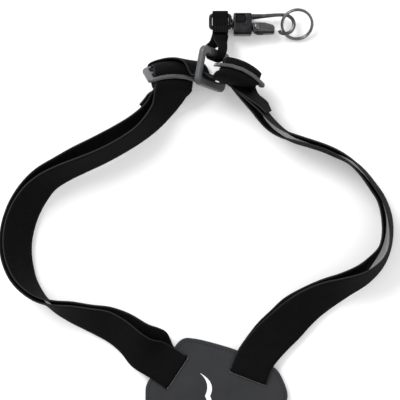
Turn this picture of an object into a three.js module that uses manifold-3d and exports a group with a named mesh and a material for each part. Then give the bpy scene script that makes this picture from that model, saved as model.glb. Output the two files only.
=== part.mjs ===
// Shoulder harness with a back patch, two webbing loops and two swivel-hook clips.
// Units are millimetres, +Z is up and the harness lies flat with its back patch at the origin.
import * as THREE from 'three';
import { mergeVertices } from 'three/addons/utils/BufferGeometryUtils.js';
import Module from 'manifold-3d';

const wasm = await Module();
wasm.setup();

// ---- driving dimensions -------------------------------------------------------------------
const WEB_WIDTH = 25;
const WEB_THICK = 1.5;
const FLOOR_GAP = 0.3;
const STUB_ROWS = 2;
const STUB_LIFT = 2.2;

const LEATHER_THICK = 2.0;
const LEATHER_BOTTOM = 2.4;
const LINING_THICK = 2.0;
const SLOT_LENGTH = 28;
const SLOT_WIDTH = 4.2;

const SLIDER = { length: 34, height: 19.6, thick: 2.4, bar: 2.6, centreBar: 3.4, corner: 2.5, bow: 4 };
const RING = { length: 34.5, height: 25.6, window: 27.2, gap: 14.2, thick: 4.6, corner: 4.5 };
const TAB_WIDTH = 10.2;
const TAB_THICK = 1.2;
const TAB_X = 2.2;
const SPLIT_RING = { x: 52.3, radius: 9.9, scale: 1.5, tilt: 27 };

const fabric = { color: 0x15161a, roughness: 0.9, metalness: 0.0 };
const leather = { color: 0x3c3d41, roughness: 0.62, metalness: 0.0 };
const plastic = { color: 0x2e3034, roughness: 0.38, metalness: 0.0 };
const gunmetal = { color: 0x55565a, roughness: 0.3, metalness: 0.95 };
const steel = { color: 0x8c8d90, roughness: 0.25, metalness: 1.0 };

// ---- general helpers ----------------------------------------------------------------------
const vec = (x, y, z) => new THREE.Vector3(x, y, z);

function node(name, geometry, look) {
  const mesh = new THREE.Mesh(geometry, new THREE.MeshStandardMaterial(look));
  mesh.name = name;
  return mesh;
}

function solid(geometry) {
  const bare = geometry.clone();
  bare.deleteAttribute('normal');
  bare.deleteAttribute('uv');
  const merged = mergeVertices(bare, 1e-4);
  return new wasm.Manifold(new wasm.Mesh({
    numProp: 3,
    vertProperties: new Float32Array(merged.attributes.position.array),
    triVerts: new Uint32Array(merged.index.array),
  }));
}

function toGeometry(manifold) {
  const mesh = manifold.getMesh();
  const geometry = new THREE.BufferGeometry();
  geometry.setAttribute('position', new THREE.BufferAttribute(mesh.vertProperties, 3));
  geometry.setIndex(new THREE.BufferAttribute(mesh.triVerts, 1));
  return geometry;
}

// A rounded rectangle centred on the origin, as a Shape or as a hole's Path.
function roundedRect(target, width, height, radius) {
  const x = width / 2;
  const y = height / 2;
  target.moveTo(x - radius, -y);
  target.absarc(x - radius, -y + radius, radius, -Math.PI / 2, 0, false);
  target.absarc(x - radius, y - radius, radius, 0, Math.PI / 2, false);
  target.absarc(-x + radius, y - radius, radius, Math.PI / 2, Math.PI, false);
  target.absarc(-x + radius, -y + radius, radius, Math.PI, Math.PI * 1.5, false);
  target.closePath();
  return target;
}

function plate(shape, thick, curveSegments = 3, bevel = 0) {
  const geometry = new THREE.ExtrudeGeometry(shape, {
    depth: thick - 2 * bevel,
    bevelEnabled: bevel > 0,
    bevelSize: bevel,
    bevelOffset: -bevel,
    bevelThickness: bevel,
    bevelSegments: 1,
    curveSegments,
  });
  geometry.translate(0, 0, -(thick - 2 * bevel) / 2);
  return geometry;
}

// A round rod swept along points.
function rod(points, radius, steps, sides = 4) {
  const section = new THREE.Shape();
  section.absarc(0, 0, radius, 0, Math.PI * 2, false);
  return new THREE.ExtrudeGeometry(section, {
    steps,
    curveSegments: sides,
    extrudePath: new THREE.CatmullRomCurve3(points, false, 'centripetal'),
  });
}

function disc(radius, length, sides = 20) {
  return new THREE.CylinderGeometry(radius, radius, length, sides);
}

// Places a geometry made in local x, y, z at a frame's origin along its three axes.
function placed(geometry, frame) {
  const matrix = new THREE.Matrix4().makeBasis(frame.x, frame.y, frame.z);
  matrix.setPosition(frame.origin);
  return geometry.clone().applyMatrix4(matrix);
}

// ---- webbing --------------------------------------------------------------------------------
// A station of a webbing strip: its centre, the direction across its width, and its bow.
function station(centre, across, bow = vec(0, 0, 0)) {
  return { centre, across, bow };
}

// One closed strip through the stations, with a crowned section where a slider bows it.
function strip(stations, width, thick, lanes) {
  const samples = stations.map((here, i) => {
    const before = stations[Math.max(0, i - 1)];
    const after = stations[Math.min(stations.length - 1, i + 1)];
    const along = after.centre.clone().sub(before.centre).normalize();
    const face = here.across.clone().cross(along).normalize();
    return { ...here, across: here.across.clone().normalize(), face };
  });
  const positions = [];
  const index = [];
  const ringSize = 2 * (lanes + 1);
  for (const sample of samples) {
    for (const layer of [1, -1]) {
      for (let lane = 0; lane <= lanes; lane += 1) {
        const u = layer * (2 * lane / lanes - 1);
        const point = sample.centre.clone()
          .addScaledVector(sample.across, u * width / 2)
          .addScaledVector(sample.face, layer * thick / 2)
          .addScaledVector(sample.bow, -u * u);
        positions.push(point.x, point.y, point.z);
      }
    }
  }
  for (let i = 0; i < samples.length - 1; i += 1) {
    for (let k = 0; k < ringSize; k += 1) {
      const a = i * ringSize + k;
      const b = i * ringSize + (k + 1) % ringSize;
      index.push(a, b, b + ringSize, a, b + ringSize, a + ringSize);
    }
  }
  for (let lane = 0; lane < lanes; lane += 1) {
    const low = ringSize - 1 - lane;
    const end = (samples.length - 1) * ringSize;
    index.push(lane, low, lane + 1, lane + 1, low, low - 1);
    index.push(end + lane, end + lane + 1, end + low, end + lane + 1, end + low - 1, end + low);
  }
  const geometry = new THREE.BufferGeometry();
  geometry.setAttribute('position', new THREE.Float32BufferAttribute(positions, 3));
  geometry.setIndex(index);
  return geometry;
}

// The two layers of one arm of a loop, from the patch slot to the slider.
// Each row is x, y, lean of the width from level in degrees, gap between the layers, and the
// sideways fan of the rear layer towards the inside of the loop.
function armLayers(rows, side) {
  const front = [];
  const rear = [];
  const stub = [];
  rows.forEach(([x, y, lean, gap, fan], i) => {
    const before = rows[Math.max(0, i - 1)];
    const after = rows[Math.min(rows.length - 1, i + 1)];
    const along = vec(after[0] - before[0], after[1] - before[1], 0).normalize();
    const inward = vec(along.y, -along.x, 0).multiplyScalar(side);
    const angle = THREE.MathUtils.degToRad(lean);
    const across = inward.clone().multiplyScalar(Math.cos(angle)).add(vec(0, 0, Math.sin(angle)));
    const face = across.clone().cross(along).multiplyScalar(side);
    const half = gap / 2;
    const rise = Math.sin(angle) * WEB_WIDTH / 2 + Math.abs(Math.cos(angle)) * (half + WEB_THICK / 2);
    const middle = vec(x, y, FLOOR_GAP + rise);
    front.push(station(middle.clone().addScaledVector(face, half), across));
    rear.push(station(middle.clone().addScaledVector(face, -half).addScaledVector(inward, fan), across));
    if (i >= rows.length - STUB_ROWS) {
      const clear = vec(0, 0, Math.max(0, -face.z * STUB_LIFT));
      stub.push(station(middle.clone().addScaledVector(face, half + STUB_LIFT).add(clear), across));
    }
  });
  return { front, rear, stub };
}

// The turn of the webbing through a patch slot, from the front layer to the rear layer.
function slotTurn(slot) {
  const frontZ = LEATHER_BOTTOM + LEATHER_THICK + 0.6 + WEB_THICK / 2;
  const rearZ = FLOOR_GAP + WEB_THICK / 2;
  const middleZ = LEATHER_BOTTOM + LEATHER_THICK / 2;
  const at = (s, z) => station(
    vec(slot.x, slot.y, z).addScaledVector(slot.out, s),
    slot.across,
  );
  return [
    at(9, frontZ), at(1.6, frontZ), at(-0.8, frontZ - 0.6), at(-1.6, middleZ),
    at(-0.8, rearZ + 0.4), at(1.6, rearZ), at(9, rearZ),
  ];
}

// ---- sliders --------------------------------------------------------------------------------
// x runs along the bars, y from the patch side to the ring side, z out of the humped face.
function sliderFrame(origin, across, hump, side) {
  const x = across.clone().normalize();
  const z = hump.clone().addScaledVector(x, -hump.dot(x)).normalize();
  const y = x.clone().cross(z).multiplyScalar(side);
  return { origin, x: x.clone().multiplyScalar(-side), y, z, across: x };
}

// Webbing points in the slider's y, z plane; the bow follows the slider's arch.
function throughSlider(frame, points) {
  return points.map(([y, z, bow]) => station(
    frame.origin.clone().addScaledVector(frame.y, y).addScaledVector(frame.z, z),
    frame.across,
    frame.z.clone().multiplyScalar(bow * SLIDER.bow * (WEB_WIDTH / SLIDER.length) ** 2),
  ));
}

const RUN_THROUGH = [
  [-9.2, -3.1, 0.8], [-5.9, -2.3, 1], [-5.7, 0.6, 1], [-4.2, 3.8, 1], [0, 5.1, 1],
  [4.2, 3.8, 1], [5.7, 0.6, 1], [5.9, -2.3, 1], [9.2, -3.1, 0.8],
];
const FOLD_THROUGH = [
  [-9.2, -5.4, 0.8], [-5.2, -4.5, 1], [-3.2, -1.8, 1], [-3.2, 0.9, 1], [-2.0, 2.5, 1], [2.0, 2.5, 1],
  [3.2, 0.9, 1], [3.2, -3.0, 1], [0.8, -6.2, 1], [-4, -7.6, 1], [-9.2, -7.9, 0.8],
];

function sliderGeometry() {
  const shape = roundedRect(new THREE.Shape(), SLIDER.length, SLIDER.height, SLIDER.corner);
  const windowHeight = (SLIDER.height - 2 * SLIDER.bar - SLIDER.centreBar) / 2;
  for (const sign of [-1, 1]) {
    const hole = new THREE.Path();
    const y = sign * (SLIDER.centreBar + windowHeight) / 2;
    const x = WEB_WIDTH / 2 + 0.8;
    hole.moveTo(-x, y - windowHeight / 2);
    for (let i = 1; i <= 6; i += 1) {
      hole.lineTo(-x + i * x / 3, y - windowHeight / 2);
    }
    for (let i = 0; i <= 6; i += 1) {
      hole.lineTo(x - i * x / 3, y + windowHeight / 2);
    }
    hole.closePath();
    shape.holes.push(hole);
  }
  const flat = solid(plate(shape, SLIDER.thick, 3, 0.4)).refineToLength(9);
  const geometry = toGeometry(flat);
  const position = geometry.attributes.position;
  for (let i = 0; i < position.count; i += 1) {
    const u = position.getX(i) / (SLIDER.length / 2);
    position.setZ(i, position.getZ(i) - SLIDER.bow * u * u);
  }
  return geometry;
}

// ---- patch ----------------------------------------------------------------------------------
const SHOULDER_SLOT = { x: -27.4, y: 16.1, out: vec(-0.833, 0.553, 0), across: vec(0.553, 0.833, 0) };
const UNDERARM_SLOT = { x: 20.6, y: 13.4, out: vec(0.36, 0.933, 0), across: vec(-0.933, 0.36, 0) };

const PATCH_EDGE = [
  [46.5, 0], [45.6, 4.6], [43.0, 11.2], [39.3, 17.7], [26, 24.0], [12.1, 30.3],
  [-1.3, 34.3], [-12.4, 37.1], [-20.5, 38.0], [-24.5, 36.0], [-34.5, 23.0], [-45.2, 9.5], [-46.7, 5],
];
const LINING_EDGE = [
  [36, 0], [33, 2.6], [28, 4.2], [2.4, 14.6], [4.8, 22], [1.5, 27], [-9, 30], [-15, 28.5], [-31.2, 4.2],
];

function mirroredOutline(edge) {
  const lower = edge.filter(([, y]) => y > 0).reverse().map(([x, y]) => [x, -y]);
  return new THREE.Shape([...edge, ...lower].map(([x, y]) => new THREE.Vector2(x, y)));
}

function slotHole(slot, sign) {
  const hole = new THREE.Path();
  const out = new THREE.Vector2(slot.out.x, slot.out.y * sign);
  const across = new THREE.Vector2(slot.across.x, slot.across.y * sign);
  const middle = new THREE.Vector2(slot.x, slot.y * sign).addScaledVector(out, -SLOT_WIDTH / 2 + 0.6);
  const corners = [[1, 1], [1, -1], [-1, -1], [-1, 1]].map(([a, b]) => middle.clone()
    .addScaledVector(across, a * SLOT_LENGTH / 2)
    .addScaledVector(out, b * SLOT_WIDTH / 2));
  hole.setFromPoints([...corners, corners[0]]);
  return hole;
}

function patchGeometry() {
  const shape = mirroredOutline(PATCH_EDGE);
  for (const sign of [1, -1]) {
    shape.holes.push(slotHole(SHOULDER_SLOT, sign), slotHole(UNDERARM_SLOT, sign));
  }
  const geometry = plate(shape, LEATHER_THICK);
  geometry.translate(0, 0, LEATHER_BOTTOM + LEATHER_THICK / 2);
  return geometry;
}

function liningGeometry() {
  const geometry = plate(mirroredOutline(LINING_EDGE), LINING_THICK);
  geometry.translate(0, 0, LINING_THICK / 2);
  return geometry;
}

// A plain curved badge, raised on the leather.
function badgeGeometry() {
  const shape = new THREE.Shape();
  shape.moveTo(-4, -15);
  shape.quadraticCurveTo(3.5, -8, -0.8, 0);
  shape.quadraticCurveTo(3.5, 8, -4, 15);
  shape.quadraticCurveTo(7, 9, 2.6, 0);
  shape.quadraticCurveTo(7, -9, -4, -15);
  const geometry = plate(shape, 0.5, 4);
  geometry.translate(-7, 0, LEATHER_BOTTOM + LEATHER_THICK + 0.35 + 0.25);
  return geometry;
}

// ---- one loop -------------------------------------------------------------------------------
const SHOULDER_ROUTE = [
  [-41, 25, 2, 5, 5], [-48.5, 29.5, 24, 3.6, 7], [-55, 36, 38, 3, 5], [-64, 43.5, 38, 3, 3],
  [-73, 48.5, 38, 3, 1], [-83, 52, 49, 3, 0], [-95, 56, 60, 3, 0], [-105, 59.5, 74, 3, 0],
  [-114, 64.5, 90, 3, 0], [-122, 73, 105, 3, 0], [-126.5, 81, 116, 3.2, 0], [-129.5, 91, 124, 3.4, 0],
  [-130.2, 101, 129, 3.4, 0], [-128.5, 112, 132, 3.2, 0], [-124.5, 123, 131, 3.4, 0],
  [-118, 133.5, 126, 4, 0], [-110.5, 141.5, 118, 5, 0], [-100, 148, 114, 6, 0], [-88.5, 154, 111, 8, 0],
  [-76, 160, 109, 9, 0], [-63, 167, 108, 9, 0], [-51, 174.5, 109, 8, 0], [-42.5, 181.5, 115, 6, 0],
  [-36.5, 188.5, 121, 4.2, 0],
];
const UNDERARM_ROUTE = [
  [28, 28.5, 2, 4.2, 0], [36.5, 38, 2, 3.2, 1], [45, 46.5, 8, 3, 1], [52.5, 54.5, 20, 3, 1],
  [61, 61.5, 30, 3, 0], [72, 68, 42, 3, 0], [83, 73.5, 56, 4, 0], [94.5, 80, 66, 6, 0],
  [103, 88, 73, 7, 0], [108, 96, 78, 6, 0], [110, 105, 77, 5, 0], [109.5, 117, 75, 4, 0],
  [106, 128.5, 77, 3, 0], [100.5, 137, 78, 2.8, 0], [94, 145.5, 80, 2.8, 0], [86.5, 152.5, 84, 2.8, 0],
  [78, 157.5, 89, 2.8, 0], [69, 161.5, 90, 2.8, 0], [60, 164.5, 90, 3, 0], [50.5, 167.5, 89, 3.6, 0],
  [42.5, 171, 83, 4.4, 0], [35.5, 176, 79, 5, 0], [30, 182, 77, 4.6, 0], [26.2, 188, 72, 3.6, 0],
];

const shoulderFrame = sliderFrame(vec(-29.3, 211, 16.8), vec(-0.95, -0.03, 0.3), vec(0.03, 0.85, 0.5), 1);
const underarmFrame = sliderFrame(vec(15.6, 211.4, 18), vec(-0.91, 0.4, 0.12), vec(0.05, 1, 0.1), -1);

// The ring's x runs along its long bars, y towards the clip, z out of its plane.
const ringX = vec(-0.5, 0.09, 0.86).normalize();
const ringY = vec(0.17, 0.98, 0).addScaledVector(ringX, -vec(0.17, 0.98, 0).dot(ringX)).normalize();
const ringFrame = {
  origin: vec(-3.0, 212, 17.2),
  x: ringX,
  y: ringY,
  z: ringX.clone().cross(ringY),
};
const RING_BAR_Y = (RING.height + RING.gap) / 4;

function throughRing(points) {
  return points.map(([y, z]) => station(
    ringFrame.origin.clone().addScaledVector(ringFrame.y, y).addScaledVector(ringFrame.z, z),
    ringFrame.x,
  ));
}

function loopStations() {
  const shoulder = armLayers(SHOULDER_ROUTE, 1);
  const underarm = armLayers(UNDERARM_ROUTE, -1);
  const shoulderRun = throughSlider(shoulderFrame, RUN_THROUGH);
  const shoulderFold = throughSlider(shoulderFrame, FOLD_THROUGH);
  const underarmRun = throughSlider(underarmFrame, RUN_THROUGH);
  const underarmFold = throughSlider(underarmFrame, FOLD_THROUGH);
  const overRing = throughRing([[-6.8, 6.5], [-4.9, 3.3], [-4.4, 0.6], [-4.9, -3.3], [-7.2, -8.2]]);
  return {
    shoulder: [
      ...shoulder.stub,
      ...shoulderFold.reverse(),
      ...shoulder.front.reverse(),
      ...slotTurn(SHOULDER_SLOT),
      ...shoulder.rear,
      ...shoulderRun,
      ...throughSlider(shoulderFrame, [[12.4, -0.8, 0.2]]),
      station(vec(-20.5, 218.8, 8.6), vec(-0.8, 0.05, 0.6)),
      station(vec(-14, 215.5, 12.5), vec(-0.6, 0.1, 0.78)),
      ...overRing.slice(0, 3),
    ],
    underarm: [
      ...overRing.slice(3),
      station(vec(9, 204.5, 28.5), vec(-0.8, 0.3, 0.5)),
      ...underarmRun.reverse(),
      ...underarm.rear.reverse(),
      ...slotTurn(UNDERARM_SLOT).reverse(),
      ...underarm.front,
      ...underarmFold,
      ...underarm.stub.reverse(),
    ],
  };
}

function ringGeometry() {
  const shape = roundedRect(new THREE.Shape(), RING.length, RING.height, RING.corner);
  shape.holes.push(roundedRect(new THREE.Path(), RING.window, RING.gap, 1));
  return placed(plate(shape, RING.thick, 3, 1), ringFrame);
}

// ---- clip: tab, swivel, hook, gate and split ring ---------------------------------------------
// The clip lies level; its swivel axis runs along +X.
const CLIP = { y: 242.4, z: 5.9 };
const EYE = { left: -4.2, right: 8.6, low: 239.9, high: 248.6, wire: 1.05 };
const BLOCK = { left: 10.8, right: 22.6, width: 14.4, height: 11 };
const TONGUE = { right: 28.8, low: 237.6, high: 243.4, height: 3.2 };
const PIN = { radius: 1.7, flange: 3.6, end: 15.5, clear: 0.35 };
const RIVET = { x: 26, y: 240.5, radius: 1.2, head: 2.2 };
const HOOK = { wire: 1.25, armY: 248.6, centreX: 44.2, centreY: 242.5, radius: 6.1 };
const GATE = { thick: 6.4, slot: 3.9, slotEnd: 30.2 };
const BUTTON = { left: 12.6, right: 18.6, low: 243, high: 248.2, depth: 2.4 };

const alongX = { x: vec(0, 0, -1), y: vec(0, 1, 0), z: vec(1, 0, 0) };

function rodAlongX(radius, from, to) {
  const cylinder = disc(radius, to - from, 16).rotateX(Math.PI / 2);
  return placed(cylinder, { ...alongX, origin: vec((from + to) / 2, CLIP.y, CLIP.z) });
}

function box(low, high) {
  const geometry = new THREE.BoxGeometry(high[0] - low[0], high[1] - low[1], high[2] - low[2]);
  return geometry.translate(...low.map((v, i) => (v + high[i]) / 2));
}

function tabGeometry() {
  const nearRing = [[-3.4, 4.8], [0.8, 4.1], [3.9, 2.1], [3.9, -2.1], [0.8, -4.1], [-3.4, -4.8]];
  const wrap = nearRing.map(([y, z]) => station(
    ringFrame.origin.clone().addScaledVector(ringFrame.y, RING_BAR_Y - y).addScaledVector(ringFrame.z, z),
    ringFrame.x,
  ));
  const level = vec(-1, 0, 0);
  const turned = vec(-0.85, 0.1, 0.5);
  const x = TAB_X;
  return strip([
    station(vec(x, 236.5, 11.4), level),
    station(vec(x, 240.5, 10.6), level),
    station(vec(x, 245.6, 8.6), level),
    station(vec(x, EYE.high + 1.3, 7.9), level),
    station(vec(x, EYE.high + 2.2, CLIP.z), level),
    station(vec(x, EYE.high + 1.3, 3.9), level),
    station(vec(x, 246.2, 3.4), level),
    station(vec(x, 244, 4.4), level),
    station(vec(x, 241.6, 7.9), level),
    station(vec(x, 239.6, 8.9), level),
    station(vec(x, 236.5, 9.2), level),
    station(vec(x - 2.2, 230.5, 9.6), turned),
    ...wrap,
    station(vec(x, 231, 13.4), turned),
    station(vec(x, 234.5, 11.9), level),
  ], TAB_WIDTH, TAB_THICK, 1);
}

function eyeGeometry() {
  const { left, right, low, high, wire } = EYE;
  const shape = roundedRect(new THREE.Shape(), right - left + 2 * wire, high - low + 2 * wire, 2.6);
  shape.holes.push(roundedRect(new THREE.Path(), right - left - 2 * wire, high - low - 2 * wire, 1.2));
  const loop = plate(shape, 2 * wire, 3, 0.5).translate((left + right) / 2, (low + high) / 2, CLIP.z);
  const neck = solid(rodAlongX(PIN.radius, right + 0.1, PIN.end));
  const flange = solid(rodAlongX(PIN.flange, right + 1.3, BLOCK.left - 0.35));
  return toGeometry(solid(loop).add(neck).add(flange));
}

function blockProfile() {
  return roundedRect(new THREE.Shape(), BLOCK.height, BLOCK.width, 2.6);
}

function rivetBore() {
  const bore = disc(RIVET.radius + 0.3, 40, 12).rotateX(Math.PI / 2);
  return solid(bore.translate(RIVET.x, RIVET.y, 0));
}

function hookGeometry() {
  const middleX = (BLOCK.left + BLOCK.right) / 2;
  const block = solid(placed(
    plate(blockProfile(), BLOCK.right - BLOCK.left, 4, 0.6),
    { ...alongX, origin: vec(middleX, CLIP.y, CLIP.z) },
  ));
  const half = TONGUE.height / 2;
  const tongue = solid(box(
    [BLOCK.right - 1, TONGUE.low, CLIP.z - half],
    [TONGUE.right, TONGUE.high, CLIP.z + half],
  ));
  const web = new THREE.Shape();
  web.moveTo(BLOCK.right - 1, 249.2);
  web.lineTo(41, 249.0);
  web.lineTo(40, 247.6);
  web.lineTo(31, 246.6);
  web.lineTo(BLOCK.right - 1, 245.4);
  web.closePath();
  const arm = solid(plate(web, 2.6, 3, 0.4).translate(0, 0, CLIP.z));
  const bore = solid(rodAlongX(PIN.radius + PIN.clear, BLOCK.left - 1, PIN.end + 0.5));
  const pocket = solid(box(
    [BUTTON.left, BUTTON.low, CLIP.z + BLOCK.height / 2 - BUTTON.depth],
    [BUTTON.right, BUTTON.high, CLIP.z + BLOCK.height],
  ));
  const path = [vec(BLOCK.right - 1, HOOK.armY - 1.2, CLIP.z), vec(32, HOOK.armY - 0.4, CLIP.z)];
  for (let i = 0; i <= 8; i += 1) {
    const angle = THREE.MathUtils.degToRad(90 - i * 26);
    path.push(vec(
      HOOK.centreX + Math.cos(angle) * HOOK.radius,
      HOOK.centreY + Math.sin(angle) * HOOK.radius,
      CLIP.z,
    ));
  }
  path.push(vec(40.6, 238.6, CLIP.z));
  return toGeometry(block.add(tongue).add(arm).subtract(bore).subtract(pocket)
    .subtract(rivetBore()).add(solid(rod(path, HOOK.wire, 26))));
}

function gateGeometry() {
  const shape = new THREE.Shape();
  shape.moveTo(26, 243.5);
  shape.lineTo(31, 243.4);
  shape.lineTo(36.6, 241.8);
  shape.lineTo(37.6, 240.2);
  shape.lineTo(37.2, 236.2);
  shape.lineTo(27, 235.9);
  shape.quadraticCurveTo(23.2, 236.6, 23.1, 240);
  shape.quadraticCurveTo(23.3, 243.4, 26, 243.5);
  const slot = solid(box(
    [BLOCK.right - 1, 230, CLIP.z - GATE.slot / 2],
    [GATE.slotEnd, 250, CLIP.z + GATE.slot / 2],
  ));
  const body = solid(plate(shape, GATE.thick, 4, 0.4).translate(0, 0, CLIP.z));
  return toGeometry(body.subtract(slot).subtract(rivetBore()));
}

function rivetGeometry() {
  const half = GATE.thick / 2;
  const profile = [
    [0, -half - 0.9], [RIVET.head, -half - 0.9], [RIVET.head, -half - 0.3], [RIVET.radius, -half - 0.3],
    [RIVET.radius, half + 0.3], [RIVET.head, half + 0.3], [RIVET.head * 0.7, half + 1.1], [0, half + 1.3],
  ].map(([x, y]) => new THREE.Vector2(x, y));
  const geometry = new THREE.LatheGeometry(profile, 12);
  return geometry.rotateX(Math.PI / 2).translate(RIVET.x, RIVET.y, CLIP.z);
}

function buttonGeometry() {
  const gap = 0.35;
  const top = CLIP.z + BLOCK.height / 2;
  return box(
    [BUTTON.left + gap, BUTTON.low + gap, top - BUTTON.depth + gap],
    [BUTTON.right - gap, BUTTON.high - gap, top - 0.9],
  );
}

// Two touching turns of wire, made as one band with a groove between the turns.
function splitRingGeometry() {
  const { radius, scale } = SPLIT_RING;
  const profile = [
    [-0.62, -0.45], [-0.3, -0.9], [0.3, -0.9], [0.62, -0.45], [0.42, 0],
    [0.62, 0.45], [0.3, 0.9], [-0.3, 0.9], [-0.62, 0.45], [-0.42, 0], [-0.62, -0.45],
  ].map(([x, y]) => new THREE.Vector2(radius + x * scale, y * scale));
  const geometry = new THREE.LatheGeometry(profile, 28).rotateX(Math.PI / 2);
  geometry.rotateX(THREE.MathUtils.degToRad(SPLIT_RING.tilt));
  return geometry.translate(SPLIT_RING.x, HOOK.centreY, CLIP.z);
}

function loopParts(prefix) {
  const group = new THREE.Group();
  const add = (name, geometry, look) => group.add(node(prefix + name, geometry, look));
  const routes = loopStations();
  add('shoulder_webbing', strip(routes.shoulder, WEB_WIDTH, WEB_THICK, 2), fabric);
  add('underarm_webbing', strip(routes.underarm, WEB_WIDTH, WEB_THICK, 2), fabric);
  add('shoulder_slider', placed(sliderGeometry(), shoulderFrame), plastic);
  add('underarm_slider', placed(sliderGeometry(), underarmFrame), plastic);
  add('strap_ring', ringGeometry(), plastic);
  add('tab_webbing', tabGeometry(), fabric);
  add('swivel_eye', eyeGeometry(), gunmetal);
  add('hook_body', hookGeometry(), gunmetal);
  add('gate_lever', gateGeometry(), gunmetal);
  add('gate_rivet', rivetGeometry(), steel);
  add('hook_button', buttonGeometry(), plastic);
  add('split_ring', splitRingGeometry(), steel);
  return group;
}

const harness = new THREE.Group();
harness.add(node('back_patch', patchGeometry(), leather));
harness.add(node('patch_lining', liningGeometry(), fabric));
harness.add(node('patch_badge', badgeGeometry(), { color: 0xe8e8e8, roughness: 0.5, metalness: 0 }));
harness.add(loopParts('right_'));
const mirrored = loopParts('left_');
mirrored.scale.set(1, -1, 1);
harness.add(mirrored);

export default harness;
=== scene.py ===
"""Looks for the binocular shoulder harness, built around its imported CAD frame. Metres, +Z up."""
import math

import bmesh
import bpy
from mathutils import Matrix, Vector


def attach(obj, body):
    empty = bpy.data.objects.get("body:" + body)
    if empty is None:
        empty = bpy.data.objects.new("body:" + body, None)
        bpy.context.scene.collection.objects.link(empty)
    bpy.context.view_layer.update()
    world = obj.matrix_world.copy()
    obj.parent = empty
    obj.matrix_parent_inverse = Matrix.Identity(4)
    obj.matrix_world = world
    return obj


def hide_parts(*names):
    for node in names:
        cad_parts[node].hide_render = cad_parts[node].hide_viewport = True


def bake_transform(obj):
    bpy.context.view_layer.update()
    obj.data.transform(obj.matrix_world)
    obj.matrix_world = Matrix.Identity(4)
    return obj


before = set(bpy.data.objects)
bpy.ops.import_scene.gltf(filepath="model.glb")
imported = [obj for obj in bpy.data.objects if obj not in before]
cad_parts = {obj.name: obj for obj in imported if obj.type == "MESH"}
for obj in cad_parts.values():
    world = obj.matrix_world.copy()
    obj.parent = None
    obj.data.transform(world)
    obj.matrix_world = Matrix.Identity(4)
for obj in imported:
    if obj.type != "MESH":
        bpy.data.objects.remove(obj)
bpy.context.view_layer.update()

MM = 0.001
WEB_WIDTH = 25.0
WEB_THICK = 1.5
FLOOR_GAP = 0.3
LEATHER_BOTTOM = 2.4
LEATHER_THICK = 2.0
LEATHER_TOP = LEATHER_BOTTOM + LEATHER_THICK
SLIDER_LENGTH = 34.0
SLIDER_BOW = 4.0
STUB_LIFT = 2.2
SLOT_HALF, SLOT_INNER, SLOT_OUTER = 12.85, -2.6, 0.6
WEB_OVER_LEATHER = 0.6
TAB_WIDTH = 10.2
TAB_THICK = 1.2
TAB_X = 2.2
CLIP_Z = 5.9
SEAM_ROWS = (237.2, 238.6, 240.0)
RING_BAR_Y = (25.6 + 14.2) / 4
BLOCK_RIGHT = 22.6
SIDES = (("right_", 1.0), ("left_", -1.0))


# ---- materials ------------------------------------------------------------------------------
def new_material(name, colour, roughness, metallic=0.0, specular=0.5):
    material = bpy.data.materials.new(name)
    material.use_nodes = True
    tree = material.node_tree
    shader = tree.nodes["Principled BSDF"]
    shader.inputs["Base Color"].default_value = (*colour, 1)
    shader.inputs["Roughness"].default_value = roughness
    shader.inputs["Metallic"].default_value = metallic
    shader.inputs["Specular IOR Level"].default_value = specular
    return material, tree, shader


def link(tree, source, target):
    tree.links.new(source, target)


def math_node(tree, operation, a, b=None, c=None):
    node = tree.nodes.new("ShaderNodeMath")
    node.operation = operation
    for socket, value in zip(node.inputs, (a, b, c)):
        if value is None:
            continue
        if isinstance(value, (int, float)):
            socket.default_value = value
        else:
            link(tree, value, socket)
    return node.outputs[0]


def ramp(tree, factor, stops):
    node = tree.nodes.new("ShaderNodeValToRGB")
    node.color_ramp.elements[0].position = stops[0][0]
    node.color_ramp.elements[0].color = (*stops[0][1], 1)
    node.color_ramp.elements[1].position = stops[-1][0]
    node.color_ramp.elements[1].color = (*stops[-1][1], 1)
    for position, colour in stops[1:-1]:
        element = node.color_ramp.elements.new(position)
        element.color = (*colour, 1)
    link(tree, factor, node.inputs["Fac"])
    return node.outputs["Color"]


def noise(tree, vector, scale, detail=3.0):
    node = tree.nodes.new("ShaderNodeTexNoise")
    node.inputs["Scale"].default_value = scale
    node.inputs["Detail"].default_value = detail
    link(tree, vector, node.inputs["Vector"])
    return node.outputs["Fac"]


def bump(tree, shader, height, strength, distance):
    node = tree.nodes.new("ShaderNodeBump")
    node.inputs["Strength"].default_value = strength
    node.inputs["Distance"].default_value = distance
    link(tree, height, node.inputs["Height"])
    link(tree, node.outputs["Normal"], shader.inputs["Normal"])


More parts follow.
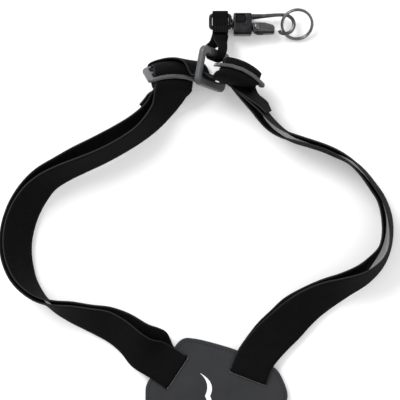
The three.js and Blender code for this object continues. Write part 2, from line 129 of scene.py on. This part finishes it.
def webbing_material(name, ribs, dark, light, edge):
    """Woven webbing, with a painted highlight along both edges: the UV's u runs across the width and v
    along it in widths.
    """
    material, tree, shader = new_material(name, dark, 0.86, specular=0.07)
    coordinates = tree.nodes.new("ShaderNodeTexCoord")
    split = tree.nodes.new("ShaderNodeSeparateXYZ")
    link(tree, coordinates.outputs["UV"], split.inputs[0])
    u, v = split.outputs["X"], split.outputs["Y"]
    turns = 2 * math.pi
    across = math_node(tree, "SINE", math_node(tree, "MULTIPLY", u, ribs * turns))
    along = math_node(tree, "SINE", math_node(tree, "MULTIPLY", v, ribs * 1.35 * turns))
    weave = math_node(tree, "MULTIPLY", across, along)
    weave = math_node(tree, "ADD", weave, math_node(tree, "MULTIPLY", across, 0.7))
    # Painted highlight: a lighter colour along both selvedges, where light catches the rounded edges
    centred = math_node(tree, "ABSOLUTE", math_node(tree, "SUBTRACT", u, 0.5))
    selvedge_highlight = math_node(tree, "MULTIPLY_ADD", centred, 60.0, -28.9)
    selvedge_highlight = math_node(tree, "MINIMUM", math_node(tree, "MAXIMUM", selvedge_highlight, 0.0), 1.0)
    tone = math_node(tree, "MULTIPLY_ADD", weave, 0.18, 0.4)
    worn = noise(tree, coordinates.outputs["Object"], 160.0)
    tone = math_node(tree, "ADD", tone, math_node(tree, "MULTIPLY_ADD", worn, 0.5, -0.25))
    body = ramp(tree, tone, [(0.1, dark), (0.9, light)])
    mix = tree.nodes.new("ShaderNodeMix")
    mix.data_type = "RGBA"
    link(tree, selvedge_highlight, mix.inputs["Factor"])
    link(tree, body, mix.inputs["A"])
    mix.inputs["B"].default_value = (*edge, 1)
    link(tree, mix.outputs["Result"], shader.inputs["Base Color"])
    bump(tree, shader, weave, 0.55, 0.0004)
    return material


def leather_material(name, dark, light):
    material, tree, shader = new_material(name, dark, 0.55, specular=0.3)
    coordinates = tree.nodes.new("ShaderNodeTexCoord").outputs["Object"]
    grain = tree.nodes.new("ShaderNodeTexVoronoi")
    grain.feature = "DISTANCE_TO_EDGE"
    grain.inputs["Scale"].default_value = 900.0
    link(tree, coordinates, grain.inputs["Vector"])
    cloud = noise(tree, coordinates, 45.0, 5.0)
    fine = noise(tree, coordinates, 1500.0)
    tone = math_node(tree, "MULTIPLY_ADD", fine, 0.3, math_node(tree, "MULTIPLY", cloud, 0.7))
    link(tree, ramp(tree, tone, [(0.3, dark), (0.7, light)]), shader.inputs["Base Color"])
    link(tree, math_node(tree, "MULTIPLY_ADD", cloud, 0.25, 0.42), shader.inputs["Roughness"])
    cells = math_node(tree, "MULTIPLY", grain.outputs["Distance"], 6.0)
    height = math_node(tree, "MINIMUM", cells, 0.7)
    height = math_node(tree, "ADD", height, math_node(tree, "MULTIPLY", fine, 0.5))
    bump(tree, shader, height, 0.35, 0.0002)
    return material


def speckled_material(name, dark, light, roughness, metallic, scale, specular=0.5):
    """Moulded plastic or plated metal: a faint mottle, uneven gloss and fine surface bump."""
    material, tree, shader = new_material(name, dark, roughness, metallic, specular)
    coordinates = tree.nodes.new("ShaderNodeTexCoord").outputs["Object"]
    cloud = noise(tree, coordinates, scale, 4.0)
    fine = noise(tree, coordinates, scale * 12)
    link(tree, ramp(tree, cloud, [(0.35, dark), (0.65, light)]), shader.inputs["Base Color"])
    gloss = math_node(tree, "MULTIPLY_ADD", fine, 0.22, roughness - 0.11)
    link(tree, gloss, shader.inputs["Roughness"])
    bump(tree, shader, fine, 0.3, 0.00004)
    return material


WEB_DARK, WEB_LIGHT = (0.0018, 0.0018, 0.002), (0.0052, 0.0052, 0.0056)
# The last colour of each webbing is a painted highlight along its selvedges
WEBBING = webbing_material("elastic_webbing", 15.0, WEB_DARK, WEB_LIGHT, (0.022, 0.022, 0.023))
TAB = webbing_material("tab_webbing_weave", 9.0, WEB_DARK, WEB_LIGHT, (0.008, 0.008, 0.009))
LEATHER = leather_material("patch_leather", (0.012, 0.0125, 0.014), (0.021, 0.0215, 0.024))
LINING = leather_material("lining_cloth", (0.006, 0.006, 0.007), (0.012, 0.012, 0.013))
PRINT = speckled_material("badge_print", (0.72, 0.72, 0.72), (0.84, 0.84, 0.84), 0.55, 0.0, 300.0)
THREAD_DARK, THREAD_LIGHT = (0.01, 0.01, 0.011), (0.025, 0.025, 0.027)
THREAD = speckled_material("stitch_thread", THREAD_DARK, THREAD_LIGHT, 0.7, 0.0, 2500.0, 0.15)
PLASTIC_DARK, PLASTIC_LIGHT = (0.04, 0.041, 0.044), (0.058, 0.059, 0.062)
PLASTIC = speckled_material("moulded_plastic", PLASTIC_DARK, PLASTIC_LIGHT, 0.36, 0.0, 220.0)
BUTTON_DARK, BUTTON_LIGHT = (0.003, 0.003, 0.003), (0.006, 0.006, 0.006)
BUTTON = speckled_material("button_plastic", BUTTON_DARK, BUTTON_LIGHT, 0.45, 0.0, 220.0, 0.1)
# Gunmetal for the swivel eye and hook block, also laid on the hook as painted shade in its recesses
GUNMETAL_AND_SHADE_DARK, GUNMETAL_AND_SHADE_LIGHT = (0.022, 0.022, 0.024), (0.04, 0.04, 0.043)
GUNMETAL_AND_PAINTED_SHADE = speckled_material("gunmetal_and_painted_shade", GUNMETAL_AND_SHADE_DARK, GUNMETAL_AND_SHADE_LIGHT, 0.3, 1.0, 260.0)
STEEL_LOW, STEEL_HIGH = (0.075, 0.075, 0.078), (0.12, 0.12, 0.124)
DARK_STEEL = speckled_material("dark_steel", STEEL_LOW, STEEL_HIGH, 0.28, 1.0, 260.0)
STEEL = speckled_material("bright_plate", (0.12, 0.12, 0.123), (0.19, 0.19, 0.194), 0.26, 1.0, 300.0)


# ---- mesh helpers ---------------------------------------------------------------------------
def mesh_object(name, vertices, faces, material):
    mesh = bpy.data.meshes.new(name)
    mesh.from_pydata([tuple(c * MM for c in v) for v in vertices], [], faces)
    mesh.materials.append(material)
    piece = bpy.data.objects.new(name, mesh)
    bpy.context.collection.objects.link(piece)
    return piece


def shade_smooth(piece):
    for polygon in piece.data.polygons:
        polygon.use_smooth = True


def catmull(points, per_span):
    """Centripetal Catmull-Rom through the points, sampled evenly in each span."""
    ends = [points[0] * 2 - points[1], *points, points[-1] * 2 - points[-2]]
    samples = []
    for i in range(len(points) - 1):
        p0, p1, p2, p3 = ends[i:i + 4]
        t1 = max((p1 - p0).length, 1e-6) ** 0.5
        t2 = t1 + max((p2 - p1).length, 1e-6) ** 0.5
        t3 = t2 + max((p3 - p2).length, 1e-6) ** 0.5
        for k in range(per_span):
            t = t1 + (t2 - t1) * k / per_span
            a1 = p0 * ((t1 - t) / t1) + p1 * (t / t1)
            a2 = p1 * ((t2 - t) / (t2 - t1)) + p2 * ((t - t1) / (t2 - t1))
            a3 = p2 * ((t3 - t) / (t3 - t2)) + p3 * ((t - t2) / (t3 - t2))
            b1 = a1 * ((t2 - t) / t2) + a2 * (t / t2)
            b2 = a2 * ((t3 - t) / (t3 - t1)) + a3 * ((t - t1) / (t3 - t1))
            samples.append(b1 * ((t2 - t) / (t2 - t1)) + b2 * ((t - t1) / (t2 - t1)))
    samples.append(points[-1].copy())
    return samples


def soften(vectors, rounds):
    for _ in range(rounds):
        inner = [
            (vectors[i - 1] + vectors[i] * 2 + vectors[i + 1]) / 4
            for i in range(1, len(vectors) - 1)
        ]
        vectors = [vectors[0], *inner, vectors[-1]]
    return vectors


def web_profile(width, thick, lanes=10):
    """The section of a woven strip: flat faces, with rounded and slightly thicker selvedges."""
    top = []
    for lane in range(lanes + 1):
        u = 2 * lane / lanes - 1
        u = math.copysign(abs(u) ** 0.8, u) if u else 0.0
        rise = thick / 2 * (0.9 + 0.1 * max(0.0, (abs(u) - 0.8) * 5))
        if abs(u) > 0.98:
            rise *= 0.55
        top.append((u * width / 2, rise))
    return top + [(x, -y) for x, y in reversed(top)]


def strip(name, stations, width, thick, material, per_span=5):
    centres = catmull([s[0] for s in stations], per_span)
    across = []
    bows = []
    for i in range(len(stations) - 1):
        for k in range(per_span):
            mix = k / per_span
            across.append(stations[i][1].lerp(stations[i + 1][1], mix))
            bows.append(stations[i][2].lerp(stations[i + 1][2], mix))
    across.append(stations[-1][1])
    bows.append(stations[-1][2])
    across = soften(across, 3)
    profile = web_profile(width, thick)
    size = len(profile)
    vertices, lengths, length = [], [], 0.0
    for i, centre in enumerate(centres):
        before = centres[max(0, i - 1)]
        after = centres[min(len(centres) - 1, i + 1)]
        length += (centre - before).length
        lengths.append(length)
        side = across[i].normalized()
        face = side.cross((after - before).normalized()).normalized()
        for x, y in profile:
            u = 2 * x / width
            vertices.append(centre + side * x + face * y - bows[i] * (u * u))
    faces = [tuple(range(size)), tuple(reversed(range(len(vertices) - size, len(vertices))))]
    for i in range(len(centres) - 1):
        for k in range(size):
            a, b = i * size + k, i * size + (k + 1) % size
            faces.append((a, a + size, b + size, b))
    piece = mesh_object(name, vertices, faces, material)
    uv = piece.data.uv_layers.new(name="UVMap")
    for loop in piece.data.loops:
        row, column = divmod(loop.vertex_index, size)
        uv.data[loop.index].uv = (profile[column][0] / width + 0.5, lengths[row] / width)
    tidy = bmesh.new()
    tidy.from_mesh(piece.data)
    bmesh.ops.recalc_face_normals(tidy, faces=tidy.faces)
    tidy.to_mesh(piece.data)
    tidy.free()
    shade_smooth(piece)
    return piece


def mirrored(stations, sign):
    flip = Vector((1, sign, 1))
    return [tuple(v * flip for v in station) for station in stations]


def station(centre, across, bow=Vector((0, 0, 0))):
    return Vector(centre), Vector(across), bow


# ---- webbing routes, in millimetres, for the +Y loop ------------------------------------------
# x, y, lean of the width from level in degrees, gap between layers, inward fan of the rear layer
SHOULDER_ROUTE = [
    (-41, 25, 2, 5, 5), (-48.5, 29.5, 24, 3.6, 7), (-55, 36, 38, 3, 5), (-64, 43.5, 38, 3, 3),
    (-73, 48.5, 38, 3, 1), (-83, 52, 49, 3, 0), (-95, 56, 60, 3, 0), (-105, 59.5, 74, 3, 0),
    (-114, 64.5, 90, 3, 0), (-122, 73, 105, 3, 0), (-126.5, 81, 116, 3.2, 0),
    (-129.5, 91, 124, 3.4, 0), (-130.2, 101, 129, 3.4, 0), (-128.5, 112, 132, 3.2, 0),
    (-124.5, 123, 131, 3.4, 0), (-118, 133.5, 126, 4, 0), (-110.5, 141.5, 118, 5, 0),
    (-100, 148, 114, 6, 0), (-88.5, 154, 111, 8, 0), (-76, 160, 109, 9, 0), (-63, 167, 108, 9, 0),
    (-51, 174.5, 109, 8, 0), (-42.5, 181.5, 115, 6, 0), (-36.5, 188.5, 121, 4.2, 0),
]
UNDERARM_ROUTE = [
    (28, 28.5, 2, 4.2, 0), (36.5, 38, 2, 3.2, 1), (45, 46.5, 8, 3, 1), (52.5, 54.5, 20, 3, 1),
    (61, 61.5, 30, 3, 0), (72, 68, 42, 3, 0), (83, 73.5, 56, 4, 0), (94.5, 80, 66, 6, 0),
    (103, 88, 73, 7, 0), (108, 96, 78, 6, 0), (110, 105, 77, 5, 0), (109.5, 117, 75, 4, 0),
    (106, 128.5, 77, 3, 0), (100.5, 137, 78, 2.8, 0), (94, 145.5, 80, 2.8, 0),
    (86.5, 152.5, 84, 2.8, 0), (78, 157.5, 89, 2.8, 0), (69, 161.5, 90, 2.8, 0),
    (60, 164.5, 90, 3, 0), (50.5, 167.5, 89, 3.6, 0), (42.5, 171, 83, 4.4, 0),
    (35.5, 176, 79, 5, 0), (30, 182, 77, 4.6, 0), (26.2, 188, 72, 3.6, 0),
]
RUN_THROUGH = [
    (-9.2, -3.1, 0.8), (-5.9, -2.3, 1), (-5.7, 0.6, 1), (-4.2, 3.8, 1), (0, 5.1, 1),
    (4.2, 3.8, 1), (5.7, 0.6, 1), (5.9, -2.3, 1), (9.2, -3.1, 0.8),
]
FOLD_THROUGH = [
    (-9.2, -5.4, 0.8), (-5.2, -4.5, 1), (-3.2, -1.8, 1), (-3.2, 0.9, 1), (-2.0, 2.5, 1),
    (2.0, 2.5, 1), (3.2, 0.9, 1), (3.2, -3.0, 1), (0.8, -6.2, 1), (-4, -7.6, 1), (-9.2, -7.9, 0.8),
]


def arm_layers(rows, side):
    front, rear, stub = [], [], []
    for i, (x, y, lean, gap, fan) in enumerate(rows):
        before, after = rows[max(0, i - 1)], rows[min(len(rows) - 1, i + 1)]
        along = Vector((after[0] - before[0], after[1] - before[1], 0)).normalized()
        inward = Vector((along.y, -along.x, 0)) * side
        angle = math.radians(lean)
        across = inward * math.cos(angle) + Vector((0, 0, math.sin(angle)))
        face = across.cross(along) * side
        rise = math.sin(angle) * WEB_WIDTH / 2 + abs(math.cos(angle)) * (gap + WEB_THICK) / 2
        middle = Vector((x, y, FLOOR_GAP + rise))
        front.append(station(middle + face * gap / 2, across))
        rear.append(station(middle - face * gap / 2 + inward * fan, across))
        if i >= len(rows) - 2:
            clear = Vector((0, 0, max(0.0, -face.z * STUB_LIFT)))
            stub.append(station(middle + face * (gap / 2 + STUB_LIFT) + clear, across))
    return front, rear, stub


def slot_turn(slot, out, across):
    top = LEATHER_TOP + WEB_OVER_LEATHER + WEB_THICK / 2
    low = FLOOR_GAP + WEB_THICK / 2
    middle = LEATHER_BOTTOM + LEATHER_THICK / 2
    route = [
        (9, top), (1.6, top), (-0.8, top - 0.6), (-1.6, middle),
        (-0.8, low + 0.4), (1.6, low), (9, low),
    ]
    return [station(Vector((*slot, z)) + Vector(out) * s, across) for s, z in route]


class SliderFrame:
    def __init__(self, origin, across, hump, side):
        self.origin = Vector(origin)
        self.x = Vector(across).normalized()
        hump = Vector(hump)
        self.z = (hump - self.x * hump.dot(self.x)).normalized()
        self.y = self.x.cross(self.z) * side

    def through(self, points):
        bow = SLIDER_BOW * (WEB_WIDTH / SLIDER_LENGTH) ** 2
        return [
            station(self.origin + self.y * y + self.z * z, self.x, self.z * (b * bow))
            for y, z, b in points
        ]


SHOULDER_SLIDER = SliderFrame((-29.3, 211, 16.8), (-0.95, -0.03, 0.3), (0.03, 0.85, 0.5), 1)
UNDERARM_SLIDER = SliderFrame((15.6, 211.4, 18), (-0.91, 0.4, 0.12), (0.05, 1, 0.1), -1)
SHOULDER_SLOT = ((-27.4, 16.1), (-0.833, 0.553, 0), (0.553, 0.833, 0))
UNDERARM_SLOT = ((20.6, 13.4), (0.36, 0.933, 0), (-0.933, 0.36, 0))

RING_ORIGIN = Vector((-3.0, 212, 17.2))
RING_X = Vector((-0.5, 0.09, 0.86)).normalized()
RING_Y = Vector((0.17, 0.98, 0))
RING_Y = (RING_Y - RING_X * RING_Y.dot(RING_X)).normalized()
RING_Z = RING_X.cross(RING_Y)


def through_ring(points):
    return [station(RING_ORIGIN + RING_Y * y + RING_Z * z, RING_X) for y, z in points]


OVER_RING = through_ring([(-6.8, 6.5), (-4.9, 3.3), (-4.4, 0.6), (-4.9, -3.3), (-7.2, -8.2)])


def loop_webbing(prefix, sign):
    front, rear, stub = arm_layers(SHOULDER_ROUTE, 1)
    fold = SHOULDER_SLIDER.through(FOLD_THROUGH)
    run = SHOULDER_SLIDER.through(RUN_THROUGH)
    arm = [*stub, *reversed(fold), *reversed(front), *slot_turn(*SHOULDER_SLOT), *rear, *run]
    bridge = [
        run[-2], run[-1],
        *SHOULDER_SLIDER.through([(12.4, -0.8, 0.2)]),
        station((-20.5, 218.8, 8.6), (-0.8, 0.05, 0.6)),
        station((-14, 215.5, 12.5), (-0.6, 0.1, 0.78)),
        *OVER_RING[:3],
    ]
    name = prefix + "shoulder_strap"
    strap = strip(name, mirrored(arm, sign), WEB_WIDTH, WEB_THICK, WEBBING)
    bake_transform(strap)
    name = prefix + "shoulder_bridge"
    link_piece = strip(name, mirrored(bridge, sign), WEB_WIDTH, WEB_THICK, WEBBING)
    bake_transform(link_piece)
    finish_web(prefix + "shoulder_webbing", strap, link_piece)

    front, rear, stub = arm_layers(UNDERARM_ROUTE, -1)
    fold = UNDERARM_SLIDER.through(FOLD_THROUGH)
    run = UNDERARM_SLIDER.through(RUN_THROUGH)
    turn = reversed(slot_turn(*UNDERARM_SLOT))
    arm = [*reversed(run), *reversed(rear), *turn, *front, *fold, *reversed(stub)]
    bridge = [*OVER_RING[2:], station((9, 204.5, 28.5), (-0.8, 0.3, 0.5)), run[-1], run[-2]]
    name = prefix + "underarm_strap"
    strap = strip(name, mirrored(arm, sign), WEB_WIDTH, WEB_THICK, WEBBING)
    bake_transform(strap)
    name = prefix + "underarm_bridge"
    link_piece = strip(name, mirrored(bridge, sign), WEB_WIDTH, WEB_THICK, WEBBING)
    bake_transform(link_piece)
    finish_web(prefix + "underarm_webbing", strap, link_piece)


def finish_web(node, *items):
    for piece in items:
        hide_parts(node)


def tab(prefix, sign):
    near = [(-3.4, 4.8), (0.8, 4.1), (3.9, 2.1), (3.9, -2.1), (0.8, -4.1), (-3.4, -4.8)]
    wrap = [station(RING_ORIGIN + RING_Y * (RING_BAR_Y - y) + RING_Z * z, RING_X) for y, z in near]
    level, turned = (-1, 0, 0), (-0.85, 0.1, 0.5)
    x, top = TAB_X, 249.9
    route = [
        station((x, 236.5, 11.4), level), station((x, 240.5, 10.6), level),
        station((x, 245.6, 8.6), level), station((x, top, 7.9), level),
        station((x, top + 0.9, CLIP_Z), level), station((x, top, 3.9), level),
        station((x, 246.2, 3.4), level), station((x, 244, 4.4), level),
        station((x, 241.6, 7.9), level), station((x, 239.6, 8.9), level),
        station((x, 236.5, 9.2), level), station((x - 2.2, 230.5, 9.6), turned), *wrap,
        station((x, 231, 13.4), turned), station((x, 234.5, 11.9), level),
    ]
    piece = strip(prefix + "tab_loop", mirrored(route, sign), TAB_WIDTH, TAB_THICK, TAB)
    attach(piece, prefix + "tab_webbing")
    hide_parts(prefix + "tab_webbing")
    body = prefix + "tab_webbing"
    for i, y in enumerate(SEAM_ROWS):
        height = 11.4 - (y - 236.5) * 0.2 + 0.6
        across = [(x - TAB_WIDTH * 0.4, y * sign), (x + TAB_WIDTH * 0.4, y * sign)]
        stitches(f"{prefix}tab_seam_{i}", across, 1.7, 1.35, 0.2, height, body)


# ---- patch ----------------------------------------------------------------------------------
PATCH_EDGE = [
    (46.5, 0), (45.6, 4.6), (43.0, 11.2), (39.3, 17.7), (26, 24.0), (12.1, 30.3), (-1.3, 34.3),
    (-12.4, 37.1), (-20.5, 38.0), (-24.5, 36.0), (-34.5, 23.0), (-45.2, 9.5), (-46.7, 5),
]
LINING_EDGE = [
    (36, 0), (33, 2.6), (28, 4.2), (2.4, 14.6), (4.8, 22), (1.5, 27), (-9, 30), (-15, 28.5),
    (-31.2, 4.2),
]


def outline(edge):
    return list(edge) + [(x, -y) for x, y in reversed(edge) if y > 0]


def slot_corners(slot, out, across, sign, grow=0.0):
    half, inner, outer = SLOT_HALF + grow, SLOT_INNER - grow, SLOT_OUTER + grow
    corners = []
    for a, reach in ((1, outer), (1, inner), (-1, inner), (-1, outer)):
        point = Vector(slot) + Vector(across[:2]) * a * half + Vector(out[:2]) * reach
        corners.append((point.x, point.y * sign))
    return corners


def flat_piece(name, outlines, low, high, edge_round, material, body="harness"):
    """A flat sheet with rounded edges from one outline and its holes."""
    curve = bpy.data.curves.new(name, "CURVE")
    curve.dimensions = "2D"
    curve.fill_mode = "BOTH"
    curve.extrude = ((high - low) / 2 - edge_round) * MM
    curve.bevel_depth = edge_round * MM
    curve.bevel_resolution = 3
    curve.offset = -edge_round * MM
    for points in outlines:
        spline = curve.splines.new("POLY")
        spline.points.add(len(points) - 1)
        for point, (x, y) in zip(spline.points, points):
            point.co = (x * MM, y * MM, 0, 1)
        spline.use_cyclic_u = True
    holder = bpy.data.objects.new(name + "_curve", curve)
    bpy.context.collection.objects.link(holder)
    bpy.context.view_layer.update()
    mesh = bpy.data.meshes.new_from_object(holder.evaluated_get(bpy.context.evaluated_depsgraph_get()))
    bpy.data.objects.remove(holder)
    bpy.data.curves.remove(curve)
    piece = bpy.data.objects.new(name, mesh)
    bpy.context.collection.objects.link(piece)
    for vertex in mesh.vertices:
        vertex.co.z += (low + high) / 2 * MM
    tidy = bmesh.new()
    tidy.from_mesh(mesh)
    bmesh.ops.remove_doubles(tidy, verts=tidy.verts, dist=0.00001)
    bmesh.ops.recalc_face_normals(tidy, faces=tidy.faces)
    tidy.to_mesh(mesh)
    tidy.free()
    mesh.materials.clear()
    mesh.materials.append(material)
    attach(piece, body)
    return piece


def rounded(points, radius, steps=5):
    """Rounds each corner of a closed outline."""
    result = []
    for i, point in enumerate(points):
        here = Vector(point)
        before, after = Vector(points[i - 1]), Vector(points[(i + 1) % len(points)])
        reach = min(radius, (before - here).length * 0.45, (after - here).length * 0.45)
        a = here + (before - here).normalized() * reach
        b = here + (after - here).normalized() * reach
        for k in range(steps + 1):
            t = k / steps
            result.append(tuple(a * (1 - t) ** 2 + here * 2 * t * (1 - t) + b * t * t))
    return result


# Place along the stitch, size and height of each of its rings.
STITCH_RINGS = ((-0.5, 0.35, -0.6), (-0.3, 0.9, 0.1), (0, 1, 0.35), (0.3, 0.9, 0.1), (0.5, 0.35, -0.6))


def stitches(name, path, pitch, length, radius, z, body):
    """A row of thread stitches along a flat path."""
    vertices, faces = [], []
    travelled, target = 0.0, pitch / 2
    sides, rings = 6, len(STITCH_RINGS)
    for start, end in zip(path, path[1:]):
        a, b = Vector((*start, z)), Vector((*end, z))
        span = (b - a).length
        if span < 1e-6:
            continue
        along = (b - a) / span
        cross = Vector((0, 0, 1)).cross(along)
        while target <= travelled + span:
            centre = a + along * (target - travelled)
            for t, size, sink in STITCH_RINGS:
                for k in range(sides):
                    turn = 2 * math.pi * k / sides
                    ring = cross * math.cos(turn) + Vector((0, 0, 1)) * math.sin(turn)
                    lift = Vector((0, 0, sink * radius))
                    vertices.append(centre + along * t * length + ring * radius * size + lift)
            base = len(vertices) - rings * sides
            faces.append(tuple(base + k for k in reversed(range(sides))))
            faces.append(tuple(base + (rings - 1) * sides + k for k in range(sides)))
            for row in range(rings - 1):
                for k in range(sides):
                    p, q = base + row * sides + k, base + row * sides + (k + 1) % sides
                    faces.append((p, q, q + sides, p + sides))
            target += pitch
        travelled += span
    piece = mesh_object(name, vertices, faces, THREAD)
    shade_smooth(piece)
    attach(piece, body)
    return piece


def inset(points, distance):
    """Moves a closed outline inwards."""
    area = sum(a[0] * b[1] - b[0] * a[1] for a, b in zip(points, points[1:] + points[:1]))
    turn = 1 if area > 0 else -1
    result = []
    for i, point in enumerate(points):
        before, after = Vector(points[i - 1]), Vector(points[(i + 1) % len(points)])
        along = (after - before).normalized()
        result.append((point[0] - along.y * distance * turn, point[1] + along.x * distance * turn))
    return result


def patch():
    top = LEATHER_TOP
    edge = rounded(outline(PATCH_EDGE), 5.0)
    holes, rims = [], []
    for slot in (SHOULDER_SLOT, UNDERARM_SLOT):
        for sign in (1, -1):
            holes.append(rounded(slot_corners(*slot, sign), 1.2))
            rims.append((slot_corners(*slot, sign, 0.9), slot_corners(*slot, sign, 0.15)))
    face = flat_piece("patch_face", [edge, *holes], LEATHER_BOTTOM, top, 0.45, LEATHER)
    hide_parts("back_patch")
    for i, (outer, inner) in enumerate(rims):
        edges = [rounded(outer, 1.6), rounded(inner, 1.2)]
        rim = flat_piece(f"slot_rim_{i}", edges, top - 0.2, top + 0.25, 0.15, LEATHER)
    lining = flat_piece("patch_backing", [rounded(outline(LINING_EDGE), 3.0)], 0.0, 2.0, 0.3, LINING)
    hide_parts("patch_lining")
    groove = inset(edge, 2.2)
    closed = groove + groove[:1]
    stitches("edge_stitching", closed, 2.6, 2.0, 0.22, top + 0.02, "harness")


def badge():
    curve = []
    for start, control, end in (
        ((-4, -15), (3.5, -8), (-0.8, 0)), ((-0.8, 0), (3.5, 8), (-4, 15)),
        ((-4, 15), (7, 9), (2.6, 0)), ((2.6, 0), (7, -9), (-4, -15)),
    ):
        for k in range(12):
            t = k / 12
            curve.append(tuple(
                s * (1 - t) ** 2 + c * 2 * t * (1 - t) + e * t * t - offset
                for s, c, e, offset in zip(start, control, end, (7, 0))
            ))
    piece = flat_piece("badge_print", [curve], LEATHER_TOP - 0.05, LEATHER_TOP + 0.3, 0.1, PRINT)
    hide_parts("patch_badge")


# ---- moulded and metal hardware -------------------------------------------------------------
def refined(node, name, body, material, voxel, rounds):
    """A finely remeshed copy of a CAD node, with its facets and edges softened."""
    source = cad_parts[node]
    mesh = source.data.copy()
    mesh.transform(source.matrix_world)
    piece = bpy.data.objects.new(name, mesh)
    bpy.context.collection.objects.link(piece)
    remesh = piece.modifiers.new("remesh", "REMESH")
    remesh.mode = "VOXEL"
    remesh.voxel_size = voxel * MM
    smooth = piece.modifiers.new("smooth", "SMOOTH")
    smooth.factor = 0.5
    smooth.iterations = rounds
    bpy.context.view_layer.update()
    result = bpy.data.meshes.new_from_object(piece.evaluated_get(bpy.context.evaluated_depsgraph_get()))
    piece.modifiers.clear()
    piece.data = result
    result.materials.clear()
    result.materials.append(material)
    # The hook and gate lever take the darker gunmetal on the block and, as painted shade, on the arm's
    # recessed web and the lever's foot
    if material is DARK_STEEL:
        result.materials.append(GUNMETAL_AND_PAINTED_SHADE)
        for polygon in result.polygons:
            polygon.material_index = int(in_block_or_painted_shade(polygon.center / MM))
    shade_smooth(piece)
    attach(piece, body)
    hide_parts(node)
    return piece


def in_block_or_painted_shade(point):
    """True on the hook block, which is darker metal, and on the recessed web of the hook's arm and the
    foot of the gate lever, which take painted shade.
    """
    y = abs(point.y)
    in_web = 245.2 < y < 247.3 and point.x < 38
    return point.x < BLOCK_RIGHT or in_web or y < 237.6 and point.x < 38


def hardware(prefix):
    for node, body, material, slot, voxel, rounds in (
        ("shoulder_slider", "shoulder_slider", PLASTIC, "slider_plastic", 0.32, 5),
        ("underarm_slider", "underarm_slider", PLASTIC, "slider_plastic", 0.32, 5),
        ("strap_ring", "strap_ring", PLASTIC, "ring_plastic", 0.35, 6),
        ("swivel_eye", "swivel_eye", GUNMETAL_AND_PAINTED_SHADE, "gunmetal", 0.2, 6),
        ("hook_body", "hook", DARK_STEEL, "gunmetal", 0.22, 7),
        ("gate_lever", "gate_lever", DARK_STEEL, "gunmetal", 0.22, 5),
        ("gate_rivet", "hook", STEEL, "bright_steel", 0.16, 5),
        ("hook_button", "hook", BUTTON, "button_plastic", 0.16, 5),
        ("split_ring", "split_ring", STEEL, "bright_steel", 0.16, 2),
    ):
        refined(prefix + node, prefix + node + "_fine", prefix + body, material, voxel, rounds)


# ---- camera, floor and light ----------------------------------------------------------------
def studio():
    floor_mesh = bpy.data.meshes.new("floor")
    reach = 3.0
    corners = [(-reach, -reach, 0), (reach, -reach, 0), (reach, reach, 0), (-reach, reach, 0)]
    floor_mesh.from_pydata(corners, [], [(0, 1, 2, 3)])
    floor = bpy.data.objects.new("floor", floor_mesh)
    bpy.context.collection.objects.link(floor)
    material, tree, shader = new_material("floor_paper", (0.9, 0.9, 0.9), 0.9)
    paper = noise(tree, tree.nodes.new("ShaderNodeTexCoord").outputs["Object"], 4.0)
    tone = ramp(tree, paper, [(0.3, (0.89, 0.89, 0.89)), (0.7, (0.91, 0.91, 0.91))])
    link(tree, tone, shader.inputs["Base Color"])
    shader.inputs["Emission Color"].default_value = (1, 1, 1, 1)
    shader.inputs["Emission Strength"].default_value = 0.12
    floor_mesh.materials.append(material)
    floor.location.z = -0.0002
    world = bpy.data.worlds.new("studio")
    world.use_nodes = True
    world.node_tree.nodes["Background"].inputs["Color"].default_value = (1, 1, 1, 1)
    world.node_tree.nodes["Background"].inputs["Strength"].default_value = 0.8
    bpy.context.scene.world = world
    for name, location, size, power in (
        ("key", (-0.7, 0.9, 0.9), 0.7, 18.0),
        ("fill", (0.8, -0.2, 0.9), 0.9, 2.0),
    ):
        light = bpy.data.lights.new(name, "AREA")
        light.size = size
        light.energy = power
        lamp = bpy.data.objects.new(name, light)
        lamp.location = location
        aim = Vector((0, 0.12, 0)) - Vector(location)
        lamp.rotation_euler = aim.to_track_quat("-Z", "Y").to_euler()
        bpy.context.collection.objects.link(lamp)
    bpy.context.scene.view_settings.view_transform = "Standard"


def camera():
    """Looks straight down on the +Y loop and the near half of the patch."""
    data = bpy.data.cameras.new("camera")
    data.lens = 100
    data.clip_start = 0.01
    view_width = 0.26
    height = view_width * data.lens / data.sensor_width
    item = bpy.data.objects.new("camera", data)
    item.location = (-0.011, 0.128, height + 0.008)
    bpy.context.collection.objects.link(item)
    bpy.context.scene.camera = item


camera()
for prefix, sign in SIDES:
    loop_webbing(prefix, sign)
    tab(prefix, sign)
    hardware(prefix)
patch()
badge()
studio()
